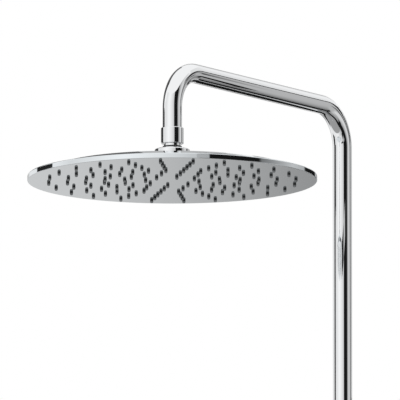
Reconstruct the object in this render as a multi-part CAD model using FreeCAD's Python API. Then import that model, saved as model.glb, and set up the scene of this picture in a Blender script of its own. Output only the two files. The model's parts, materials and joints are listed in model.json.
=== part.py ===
import FreeCAD
import Part
import math
import os

# Shower system: a bent pipe on the wall with a round overhead shower on a ball
# joint, a wall bracket, and a diverter at the water inlet.
# Lengths are in millimetres and angles in degrees.
# +Z is up, the wall is the plane Y = 0 and the shower arm reaches towards -Y.
# The origin is the middle of the water inlet on the wall.

# Layout of the whole system
arm_reach = 320.0
arm_height = 1000.0
head_drop = 118.3
wall_distance = 65.0
bracket_drop = 450.0

# Bent pipe
pipe_diameter = 20.0
pipe_wall = 1.2
riser_bend_radius = 42.0
drop_bend_radius = 42.0

# Clearances shared by all fits
running_clearance = 0.05
free_clearance = 0.3
loose_clearance = 0.5
cut_overrun = 1.0
same_point = 0.0001

# Pipe thread sizes, as the plain cylinder over the crests
half_inch_thread_radius = 10.4775
three_quarter_thread_radius = 13.2205

# Ball connector: a collar that screws on the pipe end, with the ball below it
collar_radius = 11.75
collar_bottom = 38.7
collar_top = 55.6
collar_edge = 0.9
collar_thread_radius = 10.0
collar_thread_depth = 10.0
collar_bore_radius = 6.0
neck_radius = 8.7
ball_radius = 11.0
ball_height = 27.0
ball_foot_depth = 9.4
ball_bore_radius = 4.5
regulator_height = 6.0
regulator_hole_radius = 2.0
washer_thickness = 1.0
neck_ring_radius = 10.0
neck_ring_low = 34.5
neck_ring_high = 36.3

# Threaded nipple in the lower pipe end
nipple_spigot_length = 12.0
nipple_bore_radius = 6.5

# Ball seats
seat_thickness = 1.2
upper_seat_low = 1.0
upper_seat_high = 5.5
lower_seat_low = -7.0
lower_seat_high = -1.5

# Hub on the shower head
hub_cap_radius = 18.2
hub_cap_corner_height = 32.7
hub_cap_corner = 1.4
hub_cap_lip_height = 34.8
hub_mouth_radius = 11.6
hub_thread_radius = 16.5
hub_flange_radius = 21.5
hub_flange_height = 2.2
hub_flange_edge = 0.8
hub_spigot_radius = 9.5
hub_spigot_depth = 7.6
hub_bore_radius = 7.0
lock_nut_radius = 15.0
lock_nut_height = 3.0

# Top shell, a pressed crown with a flat ledge inside the rim
head_radius = 150.0
rim_height = 5.5
rim_wall = 1.4
rim_foot_edge = 0.5
rim_top_edge = 1.1
shell_wall = 1.2
ledge_width = 11.0
crown_top = 15.3
crown_flat_radius = 24.0
crown_corner_inset = 24.8
crown_corner_height = 13.3
crown_rounding = 59.0

# Spray plate and nozzles
plate_thickness = 1.2
mat_inset = 16.0
mat_thickness = 1.5
nozzle_reach = 3.2
nozzle_root_radius = 1.7
nozzle_tip_radius = 1.35
nozzle_hole_clearance = 0.1
nozzle_sides = 8
nozzle_ring_shares = (0.209, 0.373, 0.526, 0.672, 0.813, 0.959)
nozzle_ring_counts = (8, 16, 24, 24, 24, 24)
pattern_turn = -1.5

# Water chamber cover under the top shell
cover_wall = 2.0
cover_foot_width = 4.0
cover_foot_height = 2.3
cover_shoulder_inset = 33.0
cover_shoulder_height = 7.7
cover_top_inset = 56.0
cover_top_height = 8.7
cover_boss_radius = 13.5
inlet_ring_width = 1.6
inlet_ring_height = 1.8
inlet_ring_seat = 2.0
rim_seal_width = 6.0
cover_screw_count = 6
cover_screw_circle = 60.0
cover_screw_radius = 1.5
cover_screw_head_radius = 2.8
cover_screw_head_height = 1.6
cover_post_radius = 3.6

# Diverter body on the riser axis
body_radius = 17.0
body_half_height = 30.0
body_edge = 2.5
body_bore_radius = 6.5
riser_neck_radius = 13.2
riser_neck_height = 12.0
pipe_socket_depth = 16.0
riser_ring_seat = 5.0
riser_ring_width = 2.2
riser_ring_height = 2.0
grip_ring_height = 4.0
riser_nut_radius = 16.5
riser_nut_height = 21.0
riser_nut_drop = 1.0
nut_edge = 1.2
grip_chamfer = 1.2

# Inlet from the wall
wall_thread_length = 14.0
wall_barrel_radius = 9.5
wall_flange_radius = 12.0
wall_flange_low = 22.0
wall_flange_high = 25.0
inlet_washer_thickness = 2.0
inlet_bore_radius = 7.0
inlet_nut_radius = 16.0
inlet_nut_low = 19.0
inlet_nut_high = 36.0
rosette_radius = 32.0
rosette_height = 12.0
rosette_lip = 1.6
rosette_shoulder = 5.0
rosette_wall = 1.2

# Valve in the front of the diverter
boss_radius = 14.5
boss_length = 25.0
valve_bore_radius = 10.0
valve_floor = 8.0
port_radius = 5.0
disc_radius = 8.6
disc_thickness = 2.0
disc_port_radius = 2.2
disc_port_offset = 4.4
spindle_foot_radius = 8.2
spindle_foot_height = 3.0
spindle_radius = 3.5
spindle_end = 38.0
sleeve_bore_radius = 9.0
gland_nut_radius = 12.2
gland_nut_height = 4.0
gland_bore_radius = 4.4

# Diverter knob
knob_radius = 20.0
knob_height = 26.0
knob_edge = 3.0
knob_skirt_radius = 17.0
knob_skirt_depth = 6.0
knob_web_depth = 16.0
knob_screw_radius = 1.5
knob_screw_head_radius = 3.4
knob_screw_head_height = 2.4
knob_screw_grip = 6.0
knob_cap_radius = 5.6
knob_cap_height = 2.2
lever_radius = 3.0
lever_length = 17.0
lever_seat = 4.0
lever_edge = 1.4
lever_height = 14.0

# Hose outlet under the diverter
outlet_thread_length = 12.0
outlet_flange_radius = 12.6
outlet_flange_height = 2.6
outlet_screw_in = 9.0
outlet_bore_radius = 6.5
outlet_washer_height = 1.4
check_valve_length = 11.0
check_valve_bore_radius = 3.6
check_valve_flange_height = 1.4
check_valve_flange_width = 0.7

# Wall bracket
bracket_base_radius = 20.0
bracket_base_height = 4.0
bracket_spigot_radius = 7.0
bracket_spigot_length = 20.0
bracket_sleeve_radius = 10.0
bracket_sleeve_low = 9.4
bracket_ring_radius = 15.0
bracket_ring_height = 22.0
bracket_ring_edge = 1.2
liner_wall = 1.2
bracket_screw_offset = 13.5
bracket_screw_radius = 2.3
bracket_screw_length = 34.0
bracket_head_radius = 4.2
bracket_head_height = 2.6
bracket_rosette_radius = 27.0
grub_screw_radius = 2.5
grub_screw_distance = 17.0

# Values that follow from the sizes above
full_turn = 360.0
quarter_turn = 90.0
pipe_radius = pipe_diameter / 2
pipe_bore_radius = pipe_radius - pipe_wall
riser_y = -wall_distance
head_y = riser_y - arm_reach
underside_z = arm_height - head_drop
bracket_z = arm_height - bracket_drop
pipe_end_z = underside_z + collar_top
body_top = body_half_height
neck_top = body_top + riser_neck_height
pipe_foot_z = neck_top - pipe_socket_depth
crown_radius = head_radius - ledge_width
crown_corner_radius = head_radius - crown_corner_inset
mat_radius = head_radius - mat_inset
mat_top = plate_thickness + mat_thickness
cover_shoulder_radius = head_radius - cover_shoulder_inset
cover_top_radius = head_radius - cover_top_inset
seat_inner_radius = ball_radius + free_clearance
seat_outer_radius = seat_inner_radius + seat_thickness
socket_radius = seat_outer_radius + free_clearance

up = FreeCAD.Vector(0, 0, 1)
outward = FreeCAD.Vector(0, -1, 0)
origin = FreeCAD.Vector(0, 0, 0)
head_place = FreeCAD.Vector(0, head_y, underside_z)
riser_place = FreeCAD.Vector(0, riser_y, 0)
bracket_place = FreeCAD.Vector(0, 0, bracket_z)


def rounded_path(corners, closed):
    """Lines through (point, rounding) corners, each corner turned by an arc of its rounding."""
    edges = []
    last = None
    first = None
    count = len(corners)
    for index, (point, rounding) in enumerate(corners):
        at_end = not closed and index in (0, count - 1)
        arc = None
        enter = point
        leave = point
        if rounding and not at_end:
            back = (corners[index - 1][0] - point).normalize()
            ahead = (corners[(index + 1) % count][0] - point).normalize()
            half_angle = back.getAngle(ahead) / 2
            reach = rounding / math.tan(half_angle)
            enter = point + back * reach
            leave = point + ahead * reach
            bisector = (back + ahead).normalize()
            middle = point + bisector * (rounding / math.sin(half_angle) - rounding)
            arc = Part.Arc(enter, middle, leave).toShape()
        if last is None:
            first = enter
        elif last.distanceToPoint(enter) > same_point:
            edges.append(Part.LineSegment(last, enter).toShape())
        if arc:
            edges.append(arc)
        last = leave
    if closed:
        edges.append(Part.LineSegment(last, first).toShape())
    return Part.Wire(edges)


def turned(outline, place=origin, direction=up):
    """Solid of revolution from (radius, height, rounding) corners, heights along direction."""
    corners = [(FreeCAD.Vector(radius, 0, height), rounding) for radius, height, rounding in outline]
    solid = Part.Face(rounded_path(corners, True)).revolve(origin, up, full_turn)
    return placed(solid, place, direction)


def placed(shape, place, direction=up):
    """Move a shape that stands on the origin to its place, with its +Z along direction."""
    shape.Placement = FreeCAD.Placement(place, FreeCAD.Rotation(up, direction))
    return shape


def ring(inner, outer, low, high, place=origin, direction=up):
    """Plain ring between two radii and two heights."""
    outline = [(inner, low, 0), (outer, low, 0), (outer, high, 0), (inner, high, 0)]
    return turned(outline, place, direction)


def rod(radius, low, high, place=origin, direction=up):
    """Plain round bar between two heights."""
    return ring(0, radius, low, high, place, direction)


def ball(radius, place):
    """Full ball about a point."""
    return Part.makeSphere(radius, place)


def save(node, shape):
    """Write one node to its own file."""
    if not shape.isValid():
        raise ValueError(node + " is not a valid shape")
    shape.exportStep("parts/" + node + ".step")


def pipe_section(place, direction):
    """Ring-shaped cut through the pipe."""
    outer = Part.Face(Part.Wire(Part.makeCircle(pipe_radius, place, direction)))
    bore = Part.Face(Part.Wire(Part.makeCircle(pipe_bore_radius, place, direction)))
    return outer.cut(bore).Faces[0]


def riser_pipe():
    """One bent tube: up the wall, along the arm and down to the head."""
    foot = FreeCAD.Vector(0, riser_y, pipe_foot_z)
    riser_top = FreeCAD.Vector(0, riser_y, arm_height - riser_bend_radius)
    riser_centre = riser_top + outward * riser_bend_radius
    arm_start = FreeCAD.Vector(0, riser_y - riser_bend_radius, arm_height)
    arm_end = FreeCAD.Vector(0, head_y + drop_bend_radius, arm_height)
    drop_centre = arm_end - up * drop_bend_radius
    drop_top = drop_centre + outward * drop_bend_radius
    end = FreeCAD.Vector(0, head_y, pipe_end_z)
    bend_axis = FreeCAD.Vector(1, 0, 0)
    runs = [
        pipe_section(foot, up).extrude(riser_top - foot),
        pipe_section(riser_top, up).revolve(riser_centre, bend_axis, quarter_turn),
        pipe_section(arm_start, outward).extrude(arm_end - arm_start),
        pipe_section(arm_end, outward).revolve(drop_centre, bend_axis, quarter_turn),
        pipe_section(drop_top, up).extrude(end - drop_top),
    ]
    return runs[0].multiFuse(runs[1:]).removeSplitter()


def arm_end_nipple():
    """Threaded end fixed in the pipe, which carries the ball connector."""
    spigot_radius = pipe_bore_radius - running_clearance
    thread_radius = collar_thread_radius - running_clearance
    thread_low = collar_top - collar_thread_depth + washer_thickness
    spigot_top = collar_top + nipple_spigot_length
    outline = [
        (nipple_bore_radius, thread_low, 0),
        (thread_radius, thread_low, 0),
        (thread_radius, collar_top, 0),
        (spigot_radius, collar_top, 0),
        (spigot_radius, spigot_top, 0),
        (nipple_bore_radius, spigot_top, 0),
    ]
    return turned(outline, head_place)


def swivel_ball():
    """Chromed connector turned in one piece: threaded collar, neck and ball."""
    thread_floor = collar_top - collar_thread_depth
    outline = [
        (0, ball_height, 0),
        (neck_radius, ball_height, 0),
        (neck_radius, collar_bottom, 0),
        (collar_radius, collar_bottom, collar_edge),
        (collar_radius, collar_top, collar_edge),
        (0, collar_top, 0),
    ]
    centre = head_place + up * ball_height
    solid = turned(outline, head_place).fuse(ball(ball_radius, centre))
    foot = ball_height - ball_foot_depth
    solid = solid.cut(rod(ball_radius, foot - ball_radius, foot, head_place))
    solid = solid.cut(rod(collar_thread_radius, thread_floor, collar_top + cut_overrun, head_place))
    solid = solid.cut(rod(collar_bore_radius, thread_floor - regulator_height, collar_top, head_place))
    solid = solid.cut(rod(ball_bore_radius, foot - cut_overrun, collar_top, head_place))
    return solid.removeSplitter()


def filter_washer():
    """Sealing washer between the pipe end and the floor of the collar."""
    floor = collar_top - collar_thread_depth
    outer = collar_thread_radius - running_clearance
    return ring(nipple_bore_radius, outer, floor, floor + washer_thickness, head_place)


def flow_regulator():
    """Insert that sets the flow, dropped into the collar under the washer."""
    top = collar_top - collar_thread_depth
    outer = collar_bore_radius - running_clearance
    return ring(regulator_hole_radius, outer, top - regulator_height, top, head_place)


def neck_ring():
    """Rubber ring on the neck that hides the mouth of the hub."""
    return ring(neck_radius, neck_ring_radius, neck_ring_low, neck_ring_high, head_place)


def ball_seat(low, high):
    """Slippery liner round the ball between two heights from the ball's middle."""
    centre = head_place + up * ball_height
    liner = ball(seat_outer_radius, centre).cut(ball(seat_inner_radius, centre))
    return liner.common(rod(socket_radius, low, high, centre))


def hub_cap():
    """Crowned cap that screws on the hub and keeps the ball in its seat."""
    base = crown_top + hub_flange_height
    bore = hub_thread_radius + running_clearance
    outline = [
        (bore, base, 0),
        (hub_cap_radius, base, 0),
        (hub_cap_radius, hub_cap_corner_height, hub_cap_corner),
        (hub_mouth_radius, hub_cap_lip_height, 0),
        (hub_mouth_radius, ball_height, 0),
        (bore, ball_height, 0),
    ]
    centre = head_place + up * ball_height
    return turned(outline, head_place).cut(ball(socket_radius, centre))


def hub_socket():
    """Turned hub: a flange on the shell, the lower ball seat and a spigot into the chamber."""
    seat = crown_top
    foot = seat - hub_spigot_depth
    outline = [
        (hub_bore_radius, foot, 0),
        (hub_spigot_radius, foot, 0),
        (hub_spigot_radius, seat, 0),
        (hub_flange_radius, seat, 0),
        (hub_flange_radius, seat + hub_flange_height - hub_flange_edge, 0),
        (hub_flange_radius - hub_flange_edge, seat + hub_flange_height, 0),
        (hub_thread_radius, seat + hub_flange_height, 0),
        (hub_thread_radius, ball_height, 0),
        (hub_bore_radius, ball_height, 0),
    ]
    centre = head_place + up * ball_height
    return turned(outline, head_place).cut(ball(socket_radius, centre))


def hub_lock_nut():
    """Nut under the shell that clamps the hub."""
    top = crown_top - shell_wall
    bore = hub_spigot_radius + running_clearance
    return ring(bore, lock_nut_radius, top - lock_nut_height, top, head_place)


def top_shell():
    """Pressed sheet crown over the head, standing on the ledge inside the rim."""
    hole = hub_spigot_radius + running_clearance
    edge = head_radius - rim_wall - running_clearance
    corners = [
        (FreeCAD.Vector(hole, 0, crown_top), 0),
        (FreeCAD.Vector(crown_flat_radius, 0, crown_top), 0),
        (FreeCAD.Vector(crown_corner_radius, 0, crown_corner_height), crown_rounding),
        (FreeCAD.Vector(crown_radius, 0, rim_height), 0),
        (FreeCAD.Vector(edge, 0, rim_height), 0),
    ]
    sheet = rounded_path(corners, False).makeOffset2D(-shell_wall, 2, True, True)
    return placed(sheet.Faces[0].revolve(origin, up, full_turn), head_place)


def nozzle_places():
    """Places of all nozzles: rings of even spacing, turned together."""
    for share, count in zip(nozzle_ring_shares, nozzle_ring_counts):
        radius = mat_radius * share
        for index in range(count):
            angle = math.radians(pattern_turn + full_turn * index / count)
            yield FreeCAD.Vector(radius * math.cos(angle), radius * math.sin(angle), 0)


def many_sided(radius, height):
    """Even-sided outline with corners on a radius, at a height."""
    corners = []
    for index in range(nozzle_sides + 1):
        angle = math.radians(full_turn * index / nozzle_sides)
        corners.append(FreeCAD.Vector(radius * math.cos(angle), radius * math.sin(angle), height))
    return Part.makePolygon(corners)


def at_every_nozzle(shape):
    """Copies of one shape at every nozzle."""
    copies = []
    for spot in nozzle_places():
        copy = shape.copy()
        copy.translate(spot)
        copies.append(copy)
    return copies


def spray_plate():
    """Polished pan with an upright rim and a hole for every nozzle."""
    inner = head_radius - rim_wall
    outline = [
        (0, 0, 0),
        (head_radius, 0, rim_foot_edge),
        (head_radius, rim_height, rim_top_edge),
        (inner, rim_height, 0),
        (inner, plate_thickness, 0),
        (0, plate_thickness, 0),
    ]
    root = nozzle_root_radius + nozzle_hole_clearance
    low = many_sided(root, -cut_overrun)
    hole = Part.Face(low).extrude(up * (plate_thickness + cut_overrun * 2))
    pan = turned(outline).cut(Part.makeCompound(at_every_nozzle(hole)))
    return placed(pan, head_place)


def nozzle_mat():
    """Silicone mat behind the plate, moulded in one piece with its tapered nozzles."""
    mat = rod(mat_radius, plate_thickness, mat_top)
    root = many_sided(nozzle_root_radius, plate_thickness)
    tip = many_sided(nozzle_tip_radius, -nozzle_reach)
    nozzle = Part.makeLoft([root, tip], True, True)
    return placed(mat.multiFuse(at_every_nozzle(nozzle)), head_place)


def cover_screw_places():
    """Places of the screws that draw the chamber cover down on the plate."""
    for index in range(cover_screw_count):
        angle = math.radians(full_turn * (index + 1 / 2) / cover_screw_count)
        yield FreeCAD.Vector(cover_screw_circle * math.cos(angle), cover_screw_circle * math.sin(angle), 0)


def chamber_cover():
    """Moulded cover that closes the water chamber over the nozzle mat."""
    hole = hub_spigot_radius + running_clearance
    top = cover_top_height + cover_wall
    foot_top = mat_top + cover_foot_height
    boss_low = cover_top_height - cover_wall
    outline = [
        (mat_radius - cover_foot_width, mat_top, 0),
        (mat_radius, mat_top, 0),
        (mat_radius, foot_top, 0),
        (cover_shoulder_radius, cover_shoulder_height + cover_wall, 0),
        (cover_top_radius, top, 0),
        (hole, top, 0),
        (hole, boss_low, 0),
        (cover_boss_radius, boss_low, 0),
        (cover_boss_radius, cover_top_height, 0),
        (cover_top_radius, cover_top_height, 0),
        (cover_shoulder_radius, cover_shoulder_height, 0),
        (mat_radius - cover_foot_width, foot_top - cover_wall / 2, 0),
    ]
    cover = turned(outline)
    seat_radius = hub_spigot_radius + inlet_ring_width + running_clearance
    cover = cover.cut(rod(seat_radius, top - inlet_ring_seat, top + cut_overrun))
    posts = []
    holes = []
    for spot in cover_screw_places():
        posts.append(rod(cover_post_radius, mat_top, cover_top_height + cover_wall / 2, spot))
        holes.append(rod(cover_screw_radius + running_clearance, 0, top + cut_overrun, spot))
    cover = cover.multiFuse(posts).cut(Part.makeCompound(holes))
    return placed(cover.removeSplitter(), head_place)


def cover_screws():
    """Group of short screws through the cover posts."""
    top = cover_top_height + cover_wall
    screws = []
    for spot in cover_screw_places():
        outline = [
            (0, mat_top, 0),
            (cover_screw_radius, mat_top, 0),
            (cover_screw_radius, top, 0),
            (cover_screw_head_radius, top, 0),
            (cover_screw_head_radius, top + cover_screw_head_height, 0),
            (0, top + cover_screw_head_height, 0),
        ]
        screws.append(turned(outline, head_place + spot))
    return Part.makeCompound(screws)


def inlet_ring():
    """Rubber ring round the hub spigot, in its seat in the cover."""
    low = cover_top_height + cover_wall - inlet_ring_seat
    inner = hub_spigot_radius
    return ring(inner, inner + inlet_ring_width, low, low + inlet_ring_height, head_place)


def rim_seal():
    """Rubber ring on the plate that seals and carries the ledge of the top shell."""
    inner = crown_radius + loose_clearance
    high = rim_height - shell_wall
    return ring(inner, inner + rim_seal_width, plate_thickness, high, head_place)


def diverter_body():
    """Brass body with the riser neck, inlet branch, valve boss and outlet bore."""
    bottom = -body_half_height
    barrel = [
        (0, bottom, 0),
        (body_radius - body_edge, bottom, 0),
        (body_radius, bottom + body_edge, 0),
        (body_radius, body_top - body_edge, 0),
        (body_radius - body_edge, body_top, 0),
        (riser_neck_radius, body_top, 0),
        (riser_neck_radius, neck_top, 0),
        (0, neck_top, 0),
    ]
    branch_face = wall_flange_high + inlet_washer_thickness
    boss_end = wall_distance + boss_length
    solid = turned(barrel, riser_place)
    solid = solid.fuse(rod(three_quarter_thread_radius, branch_face, wall_distance, origin, outward))
    solid = solid.fuse(rod(boss_radius, wall_distance, boss_end, origin, outward))
    valve_low = wall_distance + valve_floor
    outlet_top = bottom + outlet_screw_in
    cuts = [
        rod(pipe_radius + running_clearance, pipe_foot_z, neck_top + cut_overrun, riser_place),
        rod(pipe_radius + riser_ring_width, neck_top - riser_ring_seat, neck_top + cut_overrun, riser_place),
        rod(body_bore_radius, outlet_top, pipe_foot_z, riser_place),
        rod(half_inch_thread_radius, bottom - cut_overrun, outlet_top, riser_place),
        rod(inlet_bore_radius, branch_face - cut_overrun, wall_distance, origin, outward),
        rod(port_radius, wall_distance, valve_low, origin, outward),
        rod(valve_bore_radius, valve_low, boss_end, origin, outward),
        rod(gland_nut_radius, boss_end - gland_nut_height, boss_end + cut_overrun, origin, outward),
    ]
    for cut in cuts:
        solid = solid.cut(cut)
    return solid.removeSplitter()


def riser_ring():
    """Rubber ring that seals the riser in the neck of the diverter."""
    low = neck_top - riser_ring_seat
    outer = pipe_radius + riser_ring_width - running_clearance
    return ring(pipe_radius, outer, low, low + riser_ring_height, riser_place)


def grip_ring():
    """Coned ring that the riser nut squeezes on the pipe."""
    low = neck_top - riser_ring_seat + riser_ring_height
    high = low + riser_ring_seat - riser_ring_height + grip_ring_height
    outer = pipe_radius + riser_ring_width - running_clearance
    outline = [
        (pipe_radius, low, 0),
        (outer, low, 0),
        (outer, high - grip_chamfer, 0),
        (outer - grip_chamfer, high, 0),
        (pipe_radius, high, 0),
    ]
    return turned(outline, riser_place)


def riser_nut():
    """Nut that pulls the riser down into the diverter."""
    low = body_top + riser_nut_drop
    high = low + riser_nut_height
    hole = pipe_radius + free_clearance
    grip_top = neck_top + grip_ring_height
    thread = riser_neck_radius + running_clearance
    outer = pipe_radius + riser_ring_width
    outline = [
        (thread, low, 0),
        (riser_nut_radius - nut_edge, low, 0),
        (riser_nut_radius, low + nut_edge, 0),
        (riser_nut_radius, high - nut_edge, 0),
        (riser_nut_radius - nut_edge, high, 0),
        (hole, high, 0),
        (hole, grip_top, 0),
        (outer - grip_chamfer, grip_top, 0),
        (outer, grip_top - grip_chamfer, 0),
        (outer, neck_top + running_clearance, 0),
        (thread, neck_top + running_clearance, 0),
    ]
    return turned(outline, riser_place)


def wall_nipple():
    """Threaded connector from the wall, with the flange that the inlet nut pulls."""
    outline = [
        (nipple_bore_radius, -wall_thread_length, 0),
        (half_inch_thread_radius, -wall_thread_length, 0),
        (half_inch_thread_radius, 0, 0),
        (wall_barrel_radius, 0, 0),
        (wall_barrel_radius, wall_flange_low, 0),
        (wall_flange_radius, wall_flange_low, 0),
        (wall_flange_radius, wall_flange_high, 0),
        (nipple_bore_radius, wall_flange_high, 0),
    ]
    return turned(outline, origin, outward)


def inlet_washer():
    """Flat washer between the wall connector and the diverter."""
    high = wall_flange_high + inlet_washer_thickness
    return ring(inlet_bore_radius, wall_flange_radius, wall_flange_high, high, origin, outward)


def inlet_nut():
    """Union nut on the inlet branch."""
    thread = three_quarter_thread_radius + running_clearance
    outline = [
        (wall_barrel_radius + free_clearance, inlet_nut_low, 0),
        (inlet_nut_radius - nut_edge, inlet_nut_low, 0),
        (inlet_nut_radius, inlet_nut_low + nut_edge, 0),
        (inlet_nut_radius, inlet_nut_high - nut_edge, 0),
        (inlet_nut_radius - nut_edge, inlet_nut_high, 0),
        (thread, inlet_nut_high, 0),
        (thread, wall_flange_low, 0),
        (wall_barrel_radius + free_clearance, wall_flange_low, 0),
    ]
    return turned(outline, origin, outward)


def rosette(radius, hole, place):
    """Cover plate on the wall: a shallow cup with a hole for what passes through."""
    top_radius = radius - rosette_shoulder
    inner = radius - rosette_wall
    inner_top = rosette_height - rosette_wall
    outline = [
        (inner, 0, 0),
        (radius, 0, 0),
        (radius, rosette_lip, 0),
        (top_radius, rosette_height, 0),
        (hole, rosette_height, 0),
        (hole, inner_top, 0),
        (top_radius - rosette_wall, inner_top, 0),
        (inner, rosette_lip, 0),
    ]
    return turned(outline, place, outward)


def valve_height(offset):
    """Distance from the wall of a place on the valve axis, counted from the valve floor."""
    return wall_distance + valve_floor + offset


def ported_disc(low, port_angles):
    """Ceramic disc with one through port for each angle."""
    disc = rod(disc_radius, low, low + disc_thickness)
    for angle in port_angles:
        side = math.radians(angle)
        spot = FreeCAD.Vector(disc_port_offset * math.cos(side), disc_port_offset * math.sin(side), 0)
        disc = disc.cut(rod(disc_port_radius, low - cut_overrun, low + disc_thickness + cut_overrun, spot))
    return placed(disc, origin, outward)


def spindle():
    """Turning stem of the valve, from the moving disc to the knob."""
    low = valve_height(disc_thickness * 2)
    foot_high = low + spindle_foot_height
    end = wall_distance + spindle_end
    outline = [
        (0, low, 0),
        (spindle_foot_radius, low, 0),
        (spindle_foot_radius, foot_high, 0),
        (spindle_radius, foot_high, 0),
        (spindle_radius, end, 0),
        (0, end, 0),
    ]
    thread = rod(knob_screw_radius, end - knob_screw_grip, end + cut_overrun, origin, outward)
    return turned(outline, origin, outward).cut(thread)


def cartridge_sleeve():
    """Valve housing that holds the discs and guides the spindle."""
    low = valve_height(0)
    foot_top = low + disc_thickness * 2 + spindle_foot_height + free_clearance
    high = wall_distance + boss_length - gland_nut_height
    outer = valve_bore_radius - running_clearance
    guide = spindle_radius + running_clearance
    outline = [
        (sleeve_bore_radius, low, 0),
        (outer, low, 0),
        (outer, high, 0),
        (guide, high, 0),
        (guide, foot_top, 0),
        (sleeve_bore_radius, foot_top, 0),
    ]
    return turned(outline, origin, outward)


def gland_nut():
    """Ring nut in the mouth of the boss that keeps the cartridge in."""
    high = wall_distance + boss_length
    outer = gland_nut_radius - running_clearance
    return ring(gland_bore_radius, outer, high - gland_nut_height, high, origin, outward)


def diverter_knob():
    """Round knob with a skirt over the boss, bored for the spindle and its screw."""
    low = wall_distance + boss_length + loose_clearance
    high = low + knob_height
    web = low + knob_web_depth
    end = wall_distance + spindle_end
    outline = [
        (0, low, 0),
        (knob_radius - nut_edge, low, 0),
        (knob_radius, low + nut_edge, 0),
        (knob_radius, high, knob_edge),
        (0, high, 0),
    ]
    solid = turned(outline, origin, outward)
    cuts = [
        rod(knob_skirt_radius, low - cut_overrun, low + knob_skirt_depth, origin, outward),
        rod(spindle_radius, low, end, origin, outward),
        rod(knob_screw_radius, low, web + cut_overrun, origin, outward),
        rod(knob_cap_radius - loose_clearance, web, high, origin, outward),
        rod(knob_cap_radius, high - knob_cap_height, high + cut_overrun, origin, outward),
        rod(lever_radius, knob_radius - lever_seat, knob_radius + cut_overrun, lever_place()),
    ]
    for cut in cuts:
        solid = solid.cut(cut)
    return solid


def lever_place():
    """Point on the knob axis level with the lever."""
    distance = wall_distance + boss_length + loose_clearance + lever_height
    return FreeCAD.Vector(0, -distance, 0)


def knob_lever():
    """Round pin screwed into the side of the knob."""
    low = knob_radius - lever_seat
    high = knob_radius + lever_length
    outline = [
        (0, low, 0),
        (lever_radius, low, 0),
        (lever_radius, high, lever_edge),
        (0, high, 0),
    ]
    return turned(outline, lever_place())


def knob_screw():
    """Screw that draws the knob on the spindle."""
    web = wall_distance + boss_length + loose_clearance + knob_web_depth
    low = wall_distance + spindle_end - knob_screw_grip
    outline = [
        (0, low, 0),
        (knob_screw_radius, low, 0),
        (knob_screw_radius, web, 0),
        (knob_screw_head_radius, web, 0),
        (knob_screw_head_radius, web + knob_screw_head_height, 0),
        (0, web + knob_screw_head_height, 0),
    ]
    return turned(outline, origin, outward)


def knob_cap():
    """Plain cap that closes the screw hole."""
    high = wall_distance + boss_length + loose_clearance + knob_height
    outer = knob_cap_radius - running_clearance
    return rod(outer, high - knob_cap_height, high, origin, outward)


def outlet_nipple():
    """Threaded hose outlet, screwed into the foot of the diverter."""
    bottom = -body_half_height
    flange_top = bottom - outlet_washer_height
    flange_low = flange_top - outlet_flange_height
    thread_end = flange_low - outlet_thread_length
    top = bottom + outlet_screw_in
    screw_in = half_inch_thread_radius - running_clearance
    valve_seat = flange_low - outlet_thread_length + check_valve_length
    outline = [
        (outlet_bore_radius - check_valve_flange_width, top, 0),
        (screw_in, top, 0),
        (screw_in, flange_top, 0),
        (outlet_flange_radius, flange_top, 0),
        (outlet_flange_radius, flange_low, 0),
        (half_inch_thread_radius, flange_low, 0),
        (half_inch_thread_radius, thread_end, 0),
        (outlet_bore_radius, thread_end, 0),
        (outlet_bore_radius, valve_seat, 0),
        (outlet_bore_radius - check_valve_flange_width, valve_seat, 0),
    ]
    return turned(outline, riser_place)


def outlet_washer():
    """Flat washer between the hose outlet and the diverter."""
    low = -body_half_height - outlet_washer_height
    return ring(half_inch_thread_radius, outlet_flange_radius, low, -body_half_height, riser_place)


def check_valve():
    """Non-return insert in the hose outlet."""
    thread_end = -body_half_height - outlet_washer_height - outlet_flange_height - outlet_thread_length
    high = thread_end + check_valve_length
    outer = outlet_bore_radius - running_clearance
    return ring(check_valve_bore_radius, outer, thread_end + check_valve_flange_height, high, riser_place)


def bracket_screw_places():
    """Places of the two wall screws, one above and one below the bracket axis."""
    for side in (-1, 1):
        yield bracket_place + up * (bracket_screw_offset * side)


def bracket_base():
    """Base screwed to the wall, with the spigot that carries the bracket."""
    top = bracket_base_height
    outline = [
        (0, 0, 0),
        (bracket_base_radius, 0, 0),
        (bracket_base_radius, top, 0),
        (bracket_spigot_radius, top, 0),
        (bracket_spigot_radius, top + bracket_spigot_length, 0),
        (0, top + bracket_spigot_length, 0),
    ]
    solid = turned(outline, bracket_place, outward)
    for spot in bracket_screw_places():
        hole = rod(bracket_screw_radius + running_clearance, -cut_overrun, top + cut_overrun, spot, outward)
        solid = solid.cut(hole)
    return solid


def bracket_screws():
    """Group of the two wall screws."""
    top = bracket_base_height
    screws = []
    for spot in bracket_screw_places():
        outline = [
            (0, top - bracket_screw_length, 0),
            (bracket_screw_radius, top - bracket_screw_length, 0),
            (bracket_screw_radius, top, 0),
            (bracket_head_radius, top, 0),
            (bracket_head_radius, top + bracket_head_height / 2, 0),
            (bracket_head_radius - bracket_head_height / 2, top + bracket_head_height, 0),
            (0, top + bracket_head_height, 0),
        ]
        screws.append(turned(outline, spot, outward))
    return Part.makeCompound(screws)


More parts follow.
